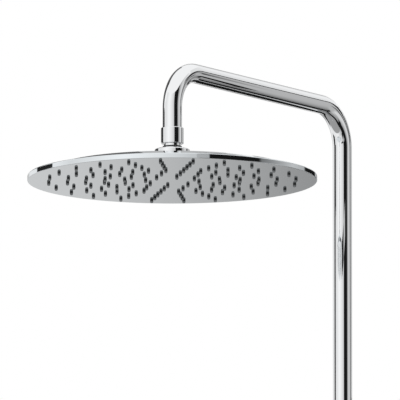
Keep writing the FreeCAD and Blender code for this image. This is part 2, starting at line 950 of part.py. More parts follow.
def bracket_holder():
    """Chromed sleeve over the spigot, with the ring that holds the riser."""
    spigot_end = bracket_base_height + bracket_spigot_length
    ring_bore = pipe_radius + running_clearance + liner_wall + running_clearance
    half = bracket_ring_height / 2
    low_edge = FreeCAD.Vector(0, riser_y, bracket_z)
    outline = [
        (ring_bore, -half, 0),
        (bracket_ring_radius - bracket_ring_edge, -half, 0),
        (bracket_ring_radius, bracket_ring_edge - half, 0),
        (bracket_ring_radius, half - bracket_ring_edge, 0),
        (bracket_ring_radius - bracket_ring_edge, half, 0),
        (ring_bore, half, 0),
    ]
    sleeve = rod(bracket_sleeve_radius, bracket_sleeve_low, wall_distance, bracket_place, outward)
    solid = sleeve.fuse(rod(bracket_ring_radius - bracket_ring_edge, -half, half, low_edge))
    solid = solid.cut(rod(ring_bore, -half - cut_overrun, half + cut_overrun, low_edge))
    solid = solid.fuse(turned(outline, low_edge))
    bore = bracket_spigot_radius + running_clearance
    solid = solid.cut(rod(bore, 0, spigot_end + free_clearance, bracket_place, outward))
    grub_place = bracket_place + outward * grub_screw_distance
    hole = rod(grub_screw_radius, bracket_spigot_radius, bracket_sleeve_radius + cut_overrun, grub_place, up * -1)
    return solid.cut(hole).removeSplitter()


def bracket_grub_screw():
    """Set screw from below that locks the sleeve on the spigot."""
    outer = grub_screw_radius - running_clearance
    grub_place = bracket_place + outward * grub_screw_distance
    high = bracket_sleeve_radius - free_clearance
    return rod(outer, bracket_spigot_radius, high, grub_place, up * -1)


def bracket_liner():
    """Plastic sleeve between the riser and the bracket ring."""
    inner = pipe_radius + running_clearance
    half = bracket_ring_height / 2
    place = FreeCAD.Vector(0, riser_y, bracket_z)
    return ring(inner, inner + liner_wall, -half, half, place)


os.makedirs("parts", exist_ok=True)

save("riser_pipe", riser_pipe())
save("arm_end_nipple", arm_end_nipple())
save("swivel_ball", swivel_ball())
save("filter_washer", filter_washer())
save("flow_regulator", flow_regulator())
save("neck_ring", neck_ring())
save("upper_ball_seat", ball_seat(upper_seat_low, upper_seat_high))
save("lower_ball_seat", ball_seat(lower_seat_low, lower_seat_high))
save("hub_cap", hub_cap())
save("hub_socket", hub_socket())
save("hub_lock_nut", hub_lock_nut())
save("top_shell", top_shell())
save("spray_plate", spray_plate())
save("nozzle_mat", nozzle_mat())
save("chamber_cover", chamber_cover())
save("cover_screws", cover_screws())
save("inlet_ring", inlet_ring())
save("rim_seal", rim_seal())
save("diverter_body", diverter_body())
save("riser_ring", riser_ring())
save("grip_ring", grip_ring())
save("riser_nut", riser_nut())
save("wall_nipple", wall_nipple())
save("inlet_washer", inlet_washer())
save("inlet_nut", inlet_nut())
save("wall_rosette", rosette(rosette_radius, wall_barrel_radius + free_clearance, origin))
save("fixed_disc", ported_disc(valve_height(0), (0, quarter_turn)))
save("moving_disc", ported_disc(valve_height(disc_thickness), (quarter_turn,)))
save("spindle", spindle())
save("cartridge_sleeve", cartridge_sleeve())
save("gland_nut", gland_nut())
save("diverter_knob", diverter_knob())
save("knob_lever", knob_lever())
save("knob_screw", knob_screw())
save("knob_cap", knob_cap())
save("outlet_nipple", outlet_nipple())
save("outlet_washer", outlet_washer())
save("check_valve", check_valve())
save("bracket_base", bracket_base())
save("bracket_screws", bracket_screws())
save("bracket_rosette", rosette(bracket_rosette_radius, bracket_sleeve_radius + free_clearance, bracket_place))
save("bracket_holder", bracket_holder())
save("bracket_grub_screw", bracket_grub_screw())
save("bracket_liner", bracket_liner())
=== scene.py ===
import json
import math

import bmesh
import bpy
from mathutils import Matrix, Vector


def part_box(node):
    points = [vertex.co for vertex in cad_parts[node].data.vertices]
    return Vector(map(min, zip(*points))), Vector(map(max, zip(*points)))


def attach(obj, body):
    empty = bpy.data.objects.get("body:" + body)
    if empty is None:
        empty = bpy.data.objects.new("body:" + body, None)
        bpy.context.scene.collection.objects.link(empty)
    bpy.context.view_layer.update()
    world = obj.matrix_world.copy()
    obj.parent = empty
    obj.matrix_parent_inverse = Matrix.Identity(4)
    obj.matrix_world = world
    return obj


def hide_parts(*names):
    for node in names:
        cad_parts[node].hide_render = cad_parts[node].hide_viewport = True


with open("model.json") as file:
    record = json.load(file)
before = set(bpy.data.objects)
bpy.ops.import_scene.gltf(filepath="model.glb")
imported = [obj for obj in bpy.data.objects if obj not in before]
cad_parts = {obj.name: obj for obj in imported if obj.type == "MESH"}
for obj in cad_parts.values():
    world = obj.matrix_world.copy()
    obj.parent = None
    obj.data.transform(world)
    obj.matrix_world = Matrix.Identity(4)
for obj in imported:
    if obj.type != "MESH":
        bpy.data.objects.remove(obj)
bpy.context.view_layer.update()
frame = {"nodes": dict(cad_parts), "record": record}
nodes = frame["nodes"]

# The camera looks up at the shower from the front and its right, through a long lens that leaves
# almost no perspective. It is aimed by the place of the head's middle in the picture.
view_azimuth = math.radians(33.8)
view_elevation = math.radians(-9.05)
picture_width = 0.4140
picture_pixels = 400
head_pixel_x = 172.3
head_pixel_y = 180.85
lens_length = 1700
sensor_width = 36

plate_low, plate_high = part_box("spray_plate")
head_middle = Vector(((plate_low.x + plate_high.x) / 2, (plate_low.y + plate_high.y) / 2, plate_low.z))
towards_camera = Vector((
    math.sin(view_azimuth) * math.cos(view_elevation),
    -math.cos(view_azimuth) * math.cos(view_elevation),
    math.sin(view_elevation),
))
picture_right = Vector((math.cos(view_azimuth), math.sin(view_azimuth), 0))
picture_up = towards_camera.cross(picture_right)
pixel = picture_width / picture_pixels
aim = head_middle
aim = aim + picture_right * (picture_pixels / 2 - head_pixel_x) * pixel
aim = aim - picture_up * (picture_pixels / 2 - head_pixel_y) * pixel

camera = bpy.data.objects.new("camera", bpy.data.cameras.new("camera"))
camera.data.lens = lens_length
camera.data.sensor_width = sensor_width
camera.data.clip_end = 200
camera.location = aim + towards_camera * (picture_width * lens_length / sensor_width)
camera.rotation_mode = "QUATERNION"
camera.rotation_quaternion = towards_camera.to_track_quat("Z", "Y")
bpy.context.scene.collection.objects.link(camera)
bpy.context.scene.camera = camera
bpy.context.scene.view_settings.view_transform = "Standard"

# The studio is a white surround. What the camera and the metal see of it is plain white, and the soft
# light that falls on the object from it is a little weaker. A wide lamp above and a smaller one on the
# camera's side add to that light, and neither shows in the metal.
surround_light = 0.75
lamp_power = 40
lamp_size = 2.2
lamp_place = Vector((-1.6, -2.4, 3.4))

world = bpy.data.worlds.new("white_surround")
bpy.context.scene.world = world
world.use_nodes = True
tree = world.node_tree
background = tree.nodes["Background"]
path = tree.nodes.new("ShaderNodeLightPath")
seen = tree.nodes.new("ShaderNodeMath")
seen.operation = "ADD"
seen_too = tree.nodes.new("ShaderNodeMath")
seen_too.operation = "ADD"
seen_too.use_clamp = True
level = tree.nodes.new("ShaderNodeMapRange")
level.inputs["To Min"].default_value = surround_light
tree.links.new(path.outputs["Is Camera Ray"], seen.inputs[0])
tree.links.new(path.outputs["Is Glossy Ray"], seen.inputs[1])
tree.links.new(seen.outputs[0], seen_too.inputs[0])
tree.links.new(path.outputs["Is Transmission Ray"], seen_too.inputs[1])
tree.links.new(seen_too.outputs[0], level.inputs["Value"])
tree.links.new(level.outputs["Result"], background.inputs["Strength"])
background.inputs["Color"].default_value = (1, 1, 1, 1)

lamp = bpy.data.objects.new("soft_lamp", bpy.data.lights.new("soft_lamp", "AREA"))
lamp.data.energy = lamp_power
lamp.data.size = lamp_size
lamp.location = lamp_place
lamp.rotation_mode = "QUATERNION"
lamp.rotation_quaternion = (lamp_place - head_middle).to_track_quat("Z", "Y")
lamp.visible_glossy = False
bpy.context.scene.collection.objects.link(lamp)

fill_power = 200
fill_size = 1.5
fill_distance = 5
fill = bpy.data.objects.new("fill_lamp", bpy.data.lights.new("fill_lamp", "AREA"))
fill.data.energy = fill_power
fill.data.size = fill_size
fill.location = head_middle + towards_camera * fill_distance
fill.rotation_mode = "QUATERNION"
fill.rotation_quaternion = towards_camera.to_track_quat("Z", "Y")
fill.visible_glossy = False
bpy.context.scene.collection.objects.link(fill)

# Round the object stands a tent of glowing cloth, white, grey and black, that only the metal sees. The
# polished tubes show it as stripes along them. Tones are given as (turn, tone), with turns in degrees
# from the camera's side, positive to the picture's right.
tent_radius = 2.5
tent_low = -0.4
tent_seam = 0.93
tent_high = 1.74
front_high = 2.75
back_top_low = 1.95
back_top_high = 3.2
skirt_low = -1.3
tent_steps = 180
black_tone = 0.01
left_and_front_tones = (
    (-180, 0.35), (-165, 0.4), (-150, 0.9), (-98, 0.95), (-82, 0.82), (-66, 0.90), (-49, 1.0), (-37, 1.05),
    (-24, 0.97), (-12, 0.90), (0, 0.80), (10, 0.69), (17.0, 0.65), (17.7, black_tone), (60.3, black_tone),
    (62, 0.3), (72, 0.5), (84, 0.72), (97, 0.76),
)
upper_back_tones = (
    (102, 0.55), (104.5, 0.03), (109.5, 0.03), (110, 0.5), (150, 0.6), (165, 0.4), (180, 0.35),
)
lower_back_tones = ((103, 0.5), (113, 0.5), (118, 0.40), (127, 0.25), (135, 0.3), (150, 0.8), (180, 0.95))
tent_middle = Vector((0, head_middle.y / 2, 0))
riser_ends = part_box("riser_ring")
riser_y = (riser_ends[0].y + riser_ends[1].y) / 2
riser_foot = Vector((0, riser_y, 0))


def screen_place(turn, distance, height, middle):
    """Point at a turn and a level distance from the middle, at a height."""
    angle = math.radians(turn) + view_azimuth
    return Vector((middle.x + distance * math.sin(angle), middle.y - distance * math.cos(angle), height))


def screen(name, heights, distances, middle, tones):
    """Upright glowing screen between two heights and two distances, with (turn, tone) stops along it."""
    start = tones[0][0]
    span = tones[-1][0] - start
    steps = max(2, round(tent_steps * abs(span) / 360))
    mesh = bpy.data.meshes.new(name)
    points = []
    for step in range(steps + 1):
        turn = start + span * step / steps
        distance = distances[0] + (distances[1] - distances[0]) * step / steps
        points.extend(screen_place(turn, distance, height, middle) for height in heights)
    faces = [(2 * i, 2 * i + 1, 2 * i + 3, 2 * i + 2) for i in range(steps)]
    mesh.from_pydata(points, [], faces)
    across = mesh.uv_layers.new(name="across")
    for loop in mesh.loops:
        across.data[loop.index].uv = (loop.vertex_index // 2 / steps, 0)
    hang_up(name, mesh, screen_cloth(name, tuple(((turn - start) / span, tone) for turn, tone in tones)))


def hang_up(name, mesh, cloth):
    """Puts a screen in the studio, where only metal and other mirrors see it."""
    mesh.materials.append(cloth)
    piece = bpy.data.objects.new(name, mesh)
    bpy.context.scene.collection.objects.link(piece)
    piece.visible_camera = False
    piece.visible_diffuse = False
    piece.visible_shadow = False


def screen_cloth(name, stops):
    """Glowing cloth whose tone follows the share of the way along the screen."""
    cloth = bpy.data.materials.new(name)
    cloth.use_nodes = True
    tree = cloth.node_tree
    tree.nodes.clear()
    across = tree.nodes.new("ShaderNodeUVMap")
    across.uv_map = "across"
    along = tree.nodes.new("ShaderNodeSeparateXYZ")
    ramp = tree.nodes.new("ShaderNodeValToRGB")
    ramp.color_ramp.elements.remove(ramp.color_ramp.elements[1])
    for index, (share, tone) in enumerate(stops):
        stop = ramp.color_ramp.elements.new(share) if index else ramp.color_ramp.elements[0]
        stop.color = (tone, tone, tone, 1)
    glow = tree.nodes.new("ShaderNodeEmission")
    output = tree.nodes.new("ShaderNodeOutputMaterial")
    tree.links.new(across.outputs["UV"], along.inputs["Vector"])
    tree.links.new(along.outputs["X"], ramp.inputs["Fac"])
    tree.links.new(ramp.outputs["Color"], glow.inputs["Color"])
    tree.links.new(glow.outputs["Emission"], output.inputs["Surface"])
    return cloth


around = (tent_radius, tent_radius)
just_inside = (tent_radius * 0.98, tent_radius * 0.98)
screen("upper_tent", (tent_seam, tent_high), around, tent_middle, left_and_front_tones + upper_back_tones)
screen("lower_tent", (tent_low, tent_seam), around, tent_middle, left_and_front_tones + lower_back_tones)
first_front_tone = 4
screen("front_top", (tent_high, front_high), around, tent_middle, left_and_front_tones[first_front_tone:])
screen("back_top", (back_top_low, back_top_high), around, tent_middle, (
    (100, 0.80), (119, 0.84), (125, 0.86), (133, 0.93), (145, 0.97), (156, 0.9), (165, 0.5), (195, 0.5),
    (205, 0.9),
))

# Dark cards before the tent draw the black lines along the edges of the riser, the drop and the arm's
# upper side. The card at the left gives the head's rim its left dark patch too.
side_reach = (1.18, 1.18)
screen("side_card", (0.5, 1.14), side_reach, riser_foot, ((-115, 0.02), (-89.5, 0.02)))
screen("riser_line_card", (1.03, 1.37), just_inside, tent_middle, ((102, 0.03), (109.5, 0.03)))
screen("riser_edge_card", (1.03, 1.37), just_inside, tent_middle, ((114, 0.03), (118, 0.03)))
screen("drop_card", (0.965, 1.4), (0.581, 0.23), riser_foot, ((-82, 0.02), (-94, 0.12), (-105, 0.14)))
screen("arm_line_card", (tent_high, back_top_low), around, tent_middle, ((95, 0.02), (140, 0.02)))

# Under the tent hang a skirt and a grey sheet with a black band on it. They give the underside of the
# arm and of both bends its grey and its black line.
screen("low_skirt", (skirt_low, tent_low), around, tent_middle, (
    (-180, black_tone), (-140, black_tone), (-125, 0.8), (-95, 0.9), (-30, 0.95), (10, 0.6), (27, 0.45),
    (29, black_tone), (69, black_tone), (71, 0.2), (80, 0.4), (100, 0.6), (112, 0.4), (118, black_tone),
    (180, black_tone),
))
sheet_height = skirt_low
sheet_radius = tent_radius * 1.01
sheet_tone = 0.35
edge_turns = range(0, 360, 10)
band_lift = 0.02
grey_sheet = bpy.data.meshes.new("grey_sheet")
grey_sheet.from_pydata([screen_place(turn, sheet_radius, sheet_height, tent_middle) for turn in edge_turns],
                       [], [range(len(edge_turns))])
hang_up("grey_sheet", grey_sheet, screen_cloth("grey_sheet", ((0, sheet_tone), (1, sheet_tone))))

# The band's middle line, seen from above, as (x, y, half width) in metres.
band_line = (
    (0.35, 2.45, 0.25), (0.42, 1.95, 0.25), (0.54, 1.5, 0.25), (0.58, 1.2, 0.25), (0.70, 0.92, 0.28),
    (0.88, 0.70, 0.3), (1.03, 0.5, 0.3), (1.2, 0.32, 0.32), (1.36, 0.13, 0.38), (1.42, -0.03, 0.42),
    (1.6, -0.35, 0.5), (1.95, -0.56, 0.6), (2.4, -0.75, 0.7),
)
band_points = []
for index, (x, y, half_width) in enumerate(band_line):
    ahead = Vector(band_line[min(index + 1, len(band_line) - 1)][:2])
    behind = Vector(band_line[max(index - 1, 0)][:2])
    along = (ahead - behind).normalized()
    for side in (-half_width, half_width):
        band_points.append((x + along.y * side, y - along.x * side, sheet_height + band_lift))
band_faces = [(2 * i, 2 * i + 1, 2 * i + 3, 2 * i + 2) for i in range(len(band_line) - 1)]
black_band = bpy.data.meshes.new("black_band")
black_band.from_pydata(band_points, [], band_faces)
hang_up("black_band", black_band, screen_cloth("black_band", ((0, black_tone), (1, black_tone))))

# Dark cards behind the shower, on its right, give the inner side of the drop's bend and the lower edge
# of the arm their black lines.
screen("arm_foot_card", (-0.59, tent_low), just_inside, tent_middle, ((118, 0.25), (131, 0.25)))
screen("bend_line_card", (1.38, tent_high), just_inside, tent_middle, (
    (118, black_tone), (132, black_tone),
))
screen("bend_card", (0.98, 1.04), just_inside, tent_middle, ((124, 0.02), (141, 0.02)))
screen("bend_card_low", (0.75, 0.98), just_inside, tent_middle, ((133, 0.02), (160, 0.02)))
screen("bend_card_foot", (0.1, 0.75), just_inside, tent_middle, ((148, 0.02), (172, 0.02)))
screen("arm_edge_card", (-0.6, 0.1), just_inside, tent_middle, ((149, black_tone), (178, black_tone)))

# One card stands to the right of the head for its rim, and one far behind and below it for the spray
# plate, which faces down.
rim_card_reach = (0.3, 0.3)
screen("rim_card", (0.895, 0.935), rim_card_reach, head_middle, (
    (14.6, 0.5), (22.0, 0.46), (22.7, black_tone), (56.0, black_tone), (58.2, 0.2), (67.3, 0.33),
    (87.5, 0.62), (103.0, 0.5), (105.8, black_tone), (130, black_tone),
))
plate_card_reach = (1.5, 1.5)
screen("plate_card", (0.58, 0.71), plate_card_reach, head_middle, (
    (167, 0.20), (174.9, 0.338), (177.3, 0.42), (180, 0.512), (184.4, 0.627), (193, 0.70),
))

# The floor is a wide pale sheet under the shower, far enough down for the low camera to see over it.
floor_height = -1.75
floor_reach = 8
floor_colour = (0.93, 0.93, 0.93, 1)
floor_roughness = 0.9

floor_mesh = bpy.data.meshes.new("floor")
floor_mesh.from_pydata(
    [(x * floor_reach, y * floor_reach, floor_height) for x, y in ((-1, -1), (1, -1), (1, 1), (-1, 1))],
    [], [(0, 1, 2, 3)],
)
floor = bpy.data.objects.new("floor", floor_mesh)
bpy.context.scene.collection.objects.link(floor)
floor_paint = bpy.data.materials.new("floor_paint")
floor_paint.use_nodes = True
floor_shader = floor_paint.node_tree.nodes["Principled BSDF"]
floor_shader.inputs["Base Color"].default_value = floor_colour
floor_shader.inputs["Roughness"].default_value = floor_roughness
floor_mesh.materials.append(floor_paint)


# The inlet comes out of the wall: a threaded connector and a union nut that pulls it to the diverter,
# both turned from brass, and a shallow pressed rosette on the wall. All three are chromed.
mm = 0.001
up = Vector((0, 0, 1))
outward = Vector((0, -1, 0))
wall_inlet = Vector((0, 0, 0))
arc_step = math.radians(15)
crease = math.radians(28)
thread_pitch = 1.814
thread_depth = 1.1
thread_steps = 10
half_inch_radius = 10.4775
same_size = 0.01
chrome_colour = (0.87, 0.88, 0.89)
metal_detail = 4
skin_detail = 5
skin_dark = 0.88
skin_light = 1.08
skin_height = 0.0002


def rounded(outline):
    """Points of a closed outline of (radius, height, rounding) corners, with an arc at each rounding."""
    corners = [Vector(corner[:2]) for corner in outline]
    points = []
    for index, corner in enumerate(corners):
        rounding = outline[index][2]
        if rounding == 0:
            points.append(corner)
            continue
        back = (corners[index - 1] - corner).normalized()
        ahead = (corners[(index + 1) % len(corners)] - corner).normalized()
        half = back.angle(ahead) / 2
        centre = corner + (back + ahead).normalized() * (rounding / math.sin(half))
        first = (corner + back * (rounding / math.tan(half)) - centre).normalized()
        last = (corner + ahead * (rounding / math.tan(half)) - centre).normalized()
        steps = max(2, math.ceil((math.pi - half * 2) / arc_step))
        for step in range(steps + 1):
            points.append(centre + first.slerp(last, step / steps) * rounding)
    return points


def threaded(points, radius, low, high):
    """The points with many more along a stretch that carries a screw thread."""
    finer = []
    for index, point in enumerate(points):
        finer.append(point)
        following = points[(index + 1) % len(points)]
        on_thread = abs(point.x - radius) < same_size and abs(following.x - radius) < same_size
        bottom = min(point.y, following.y)
        top = max(point.y, following.y)
        if on_thread and low - same_size <= bottom and top <= high + same_size:
            steps = round((top - bottom) / thread_pitch * thread_steps)
            for step in range(1, steps):
                finer.append(point.lerp(following, step / steps))
    return finer


def thread_radius(radius, height, angle, thread):
    """Radius of the thread's flank at a height and an angle, running out at both ends."""
    crest, low, high = thread
    if abs(radius - crest) > same_size or not low < height < high:
        return radius
    share = (height / thread_pitch - angle / math.tau) % 1
    groove = 1 - abs(share * 2 - 1)
    fade = min(1, (height - low) / thread_pitch, (high - height) / thread_pitch)
    return radius - thread_depth * groove * fade


def turned(name, outline, place, direction, finish, thread=None, round_steps=96):
    """Smooth turned piece from a closed outline in millimetres, standing on place along direction."""
    swing = up.rotation_difference(direction)
    points = rounded(outline)
    if thread:
        points = threaded(points, *thread)
    form = bmesh.new()
    hoops = []
    for point in points:
        hoop = []
        for step in range(round_steps if point.x > 0 else 1):
            angle = math.tau * step / round_steps
            radius = thread_radius(point.x, point.y, angle, thread) if thread else point.x
            spot = Vector((radius * math.cos(angle), radius * math.sin(angle), point.y)) * mm
            hoop.append(form.verts.new(swing @ spot + place))
        hoops.append(hoop)
    for index, hoop in enumerate(hoops):
        other = hoops[(index + 1) % len(hoops)]
        if len(hoop) == 1 and len(other) == 1:
            continue
        for step in range(round_steps):
            beside = step + 1
            corners = [hoop[step % len(hoop)], hoop[beside % len(hoop)],
                       other[beside % len(other)], other[step % len(other)]]
            form.faces.new(list(dict.fromkeys(corners)))
    bmesh.ops.recalc_face_normals(form, faces=form.faces)
    return finished(name, form, finish)


def finished(name, form, finish):
    """Turns a mesh form into an object with its finish, smooth but for its sharp edges."""
    mesh = bpy.data.meshes.new(name)
    form.to_mesh(mesh)
    form.free()
    mesh.materials.append(finish)
    mesh.shade_smooth()
    mesh.set_sharp_from_angle(angle=crease)
    piece = bpy.data.objects.new(name, mesh)
    bpy.context.scene.collection.objects.link(piece)
    level_faces = piece.modifiers.new("level_faces", "WEIGHTED_NORMAL")
    level_faces.keep_sharp = True
    return piece


def stands_for(piece, body, slot, *replaced):
    """The piece rides on a body and is shown in place of the named nodes, which are hidden. The slot is not
    used.
    """
    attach(piece, body)
    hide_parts(*replaced)


def metal(name, colour, roughness, spread, grain):
    """Bare or plated metal whose gloss varies a little over its surface."""
    finish = bpy.data.materials.new(name)
    finish.use_nodes = True
    tree = finish.node_tree
    shader = tree.nodes["Principled BSDF"]
    shader.inputs["Base Color"].default_value = (*colour, 1)
    shader.inputs["Metallic"].default_value = 1
    place = tree.nodes.new("ShaderNodeTexCoord")
    noise = tree.nodes.new("ShaderNodeTexNoise")
    noise.inputs["Scale"].default_value = grain
    noise.inputs["Detail"].default_value = metal_detail
    gloss = tree.nodes.new("ShaderNodeMapRange")
    gloss.inputs["To Min"].default_value = roughness - spread
    gloss.inputs["To Max"].default_value = roughness + spread
    tree.links.new(place.outputs["Object"], noise.inputs["Vector"])
    tree.links.new(noise.outputs["Fac"], gloss.inputs["Value"])
    tree.links.new(gloss.outputs["Result"], shader.inputs["Roughness"])
    return finish


def moulded(name, colour, roughness, bump, grain):
    """Moulded plastic or rubber with a fine uneven skin."""
    finish = bpy.data.materials.new(name)
    finish.use_nodes = True
    tree = finish.node_tree
    shader = tree.nodes["Principled BSDF"]
    shader.inputs["Roughness"].default_value = roughness
    place = tree.nodes.new("ShaderNodeTexCoord")
    noise = tree.nodes.new("ShaderNodeTexNoise")
    noise.inputs["Scale"].default_value = grain
    noise.inputs["Detail"].default_value = skin_detail
    tone = tree.nodes.new("ShaderNodeValToRGB")
    tone.color_ramp.elements[0].color = (*(part * skin_dark for part in colour), 1)
    tone.color_ramp.elements[1].color = (*(min(1, part * skin_light) for part in colour), 1)
    skin = tree.nodes.new("ShaderNodeBump")
    skin.inputs["Strength"].default_value = bump
    skin.inputs["Distance"].default_value = skin_height
    tree.links.new(place.outputs["Object"], noise.inputs["Vector"])
    tree.links.new(noise.outputs["Fac"], tone.inputs["Fac"])
    tree.links.new(tone.outputs["Color"], shader.inputs["Base Color"])
    tree.links.new(noise.outputs["Fac"], skin.inputs["Height"])
    tree.links.new(skin.outputs["Normal"], shader.inputs["Normal"])
    return finish


chrome = metal("polished_chrome", chrome_colour, 0.03, 0.015, 60)
black_rubber = moulded("black_rubber", (0.02, 0.02, 0.02), 0.6, 0.4, 900)

wall_nipple = turned("wall_connector", (
    (6.5, -14, 0), (half_inch_radius, -14, 0), (half_inch_radius, 0, 0), (9.5, 0, 0.3), (9.5, 22, 0.3),
    (12, 22, 0.3), (12, 25, 0.3), (6.5, 25, 0),
), wall_inlet, outward, chrome, (half_inch_radius, -14, 0))
stands_for(wall_nipple, "root", "chrome", "wall_nipple")
washer = turned("inlet_washer_ring", ((7, 25, 0), (12, 25, 0.3), (12, 27, 0.3), (7, 27, 0)),
                wall_inlet, outward, black_rubber)
stands_for(washer, "root", "seal_rubber", "inlet_washer")
union_nut = turned("union_nut", (
    (9.8, 19, 0), (14.8, 19, 0.3), (16, 20.2, 0.6), (16, 34.8, 0.6), (14.8, 36, 0.3), (13.27, 36, 0),
    (13.27, 22, 0), (9.8, 22, 0),
), wall_inlet, outward, chrome)
stands_for(union_nut, "root", "chrome", "inlet_nut")


def pressed_rosette(name, radius, hole, place):
    """Shallow pressed cup with a hole, standing on the wall."""
    return turned(name, (
        (radius - 1.2, 0, 0), (radius, 0, 0.3), (radius, 1.6, 0.6), (radius - 5, 12, 2.5), (hole, 12, 0.3),
        (hole, 10.8, 0), (radius - 6.2, 10.8, 1.5), (radius - 1.2, 1.6, 0),
    ), place, outward, chrome)


wall_plate = pressed_rosette("wall_plate", 32, 9.8, wall_inlet)
stands_for(wall_plate, "root", "chrome", "wall_rosette")

# The diverter is one brass casting, bored and chromed: a barrel on the riser's axis, a branch to the
# wall, a boss for the valve in front, and a neck that takes the riser.
wall_gap = -riser_y / mm
weld_distance = 0.000001


def joined(name, first, *others):
    """One clean solid from overlapping ones."""
    for other in others:
        union = first.modifiers.new("union", "BOOLEAN")
        union.object = other
        union.operation = "UNION"
        union.solver = "EXACT"
    graph = bpy.context.evaluated_depsgraph_get()
    mesh = bpy.data.meshes.new_from_object(first.evaluated_get(graph))
    form = bmesh.new()
    form.from_mesh(mesh)
    bmesh.ops.remove_doubles(form, verts=form.verts, dist=weld_distance)
    finish = first.data.materials[0]
    for old in (first, *others):
        bpy.data.objects.remove(old)
    return finished(name, form, finish)


barrel = turned("barrel", (
    (0, -30, 0), (10.48, -30, 0), (14.5, -30, 0.4), (17, -27.5, 1.2), (17, 27.5, 1.2), (14.5, 30, 0.4),
    (13.2, 30, 0), (13.2, 42, 0.3), (12.2, 42, 0), (12.2, 37, 0), (0, 37, 0),
), riser_foot, up, chrome)
branch = turned("branch", ((0, 27, 0), (13.22, 27, 0.4), (13.22, wall_gap, 0), (0, wall_gap, 0)),
                wall_inlet, outward, chrome)
boss = turned("boss", (
    (0, wall_gap, 0), (14.5, wall_gap, 0), (14.5, wall_gap + 25, 0.5), (12.2, wall_gap + 25, 0),
    (12.2, wall_gap + 21, 0), (0, wall_gap + 21, 0),
), wall_inlet, outward, chrome)
casting = joined("diverter_casting", barrel, branch, boss)
stands_for(casting, "root", "chrome", "diverter_body")

# A union nut of turned and chromed brass is screwed over the diverter's neck. It clamps the rings that
# hold and seal the riser.
riser_collar = turned("riser_union", (
    (13.25, 31, 0), (15.3, 31, 0.3), (16.5, 32.2, 0.6), (16.5, 50.8, 0.6), (15.3, 52, 0.4), (10.3, 52, 0.3),
    (10.3, 46, 0), (12.2, 44.8, 0), (12.2, 42.05, 0), (13.25, 42.05, 0),
), riser_foot, up, chrome)
stands_for(riser_collar, "root", "chrome", "riser_nut")

# The knob turns the valve. It is turned brass with a skirt over the boss, and a round pin is screwed
# into its side as a lever. A plain cap closes the screw hole.
knob_low = wall_gap + 25.5
knob_high = knob_low + 26
cap_height = 2.2
knob = turned("knob", (
    (0, knob_low + 16, 0), (3.5, knob_low + 6, 0), (17, knob_low + 6, 0), (17, knob_low, 0.2),
    (18.8, knob_low, 0.3), (20, knob_low + 1.2, 0.5), (20, knob_high, 3), (5.6, knob_high, 0.2),
    (5.6, knob_high - cap_height, 0), (0, knob_high - cap_height, 0),
), wall_inlet, outward, chrome)
stands_for(knob, "knob", "chrome", "diverter_knob")
lever_place = Vector((0, -(knob_low + 14) * mm, 0))
lever = turned("lever", ((0, 16, 0), (3, 16, 0), (3, 37, 1.4), (0, 37, 0)), lever_place, up, chrome)
stands_for(lever, "knob", "chrome", "knob_lever")
cap = turned("knob_button", (
    (0, knob_high - cap_height, 0), (5.55, knob_high - cap_height, 0), (5.55, knob_high, 0.3),
    (0, knob_high, 0),
), wall_inlet, outward, chrome)
stands_for(cap, "knob", "chrome", "knob_cap")

# The hose outlet is a turned connector with a half inch thread, sealed to the diverter by a washer.
outlet = turned("hose_connector", (
    (5.8, -21, 0), (10.43, -21, 0), (10.43, -31.4, 0), (12.6, -31.4, 0.3), (12.6, -34, 0.3),
    (half_inch_radius, -34, 0), (half_inch_radius, -46, 0), (6.5, -46, 0.2), (6.5, -35, 0), (5.8, -35, 0),
), riser_foot, up, chrome, (half_inch_radius, -46, -34))
stands_for(outlet, "root", "chrome", "outlet_nipple")
outlet_ring = turned("outlet_ring", (
    (10.48, -31.4, 0), (12.6, -31.4, 0.3), (12.6, -30, 0.3), (10.48, -30, 0),
), riser_foot, up, black_rubber)
stands_for(outlet_ring, "root", "seal_rubber", "outlet_washer")

# The riser, the arm and the drop are one chromed tube, bent twice on a mandrel. It starts in the
# diverter and ends in the collar over the shower head.
pipe_radius = 10 * mm
pipe_foot = 26 * mm
pipe_end = head_middle.z + 55.6 * mm
arm_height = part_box("riser_pipe")[1].z - pipe_radius
riser_bend = 42 * mm
drop_bend = 42 * mm
bend_steps = 40
tube_steps = 96

route = bpy.data.curves.new("pipe_route", "CURVE")
route.dimensions = "3D"
run = route.splines.new("POLY")
route_points = (
    (0, riser_y, pipe_foot), (0, riser_y, arm_height), (0, head_middle.y, arm_height),
    (0, head_middle.y, pipe_end),
)
run.points.add(len(route_points) - 1)
for point, spot in zip(run.points, route_points):
    point.co = (*spot, 1)


def socket(tree, name, kind, value):
    """Named input of a tree of geometry nodes, with its usual value."""
    made = tree.interface.new_socket(name=name, in_out="INPUT", socket_type=kind)
    if value is not None:
        made.default_value = value
    return made.identifier


def plain_mesh(name, source, tree, values):
    """Runs a tree on a source object and keeps what it makes as a plain mesh object."""
    run_tree = source.modifiers.new("build", "NODES")
    run_tree.node_group = tree
    for identifier, value in values.items():
        run_tree[identifier] = value
    graph = bpy.context.evaluated_depsgraph_get()
    mesh = bpy.data.meshes.new_from_object(source.evaluated_get(graph))
    source.modifiers.remove(run_tree)
    mesh.name = name
    mesh.shade_smooth()
    mesh.set_sharp_from_angle(angle=crease)
    piece = bpy.data.objects.new(name, mesh)
    bpy.context.scene.collection.objects.link(piece)
    return piece


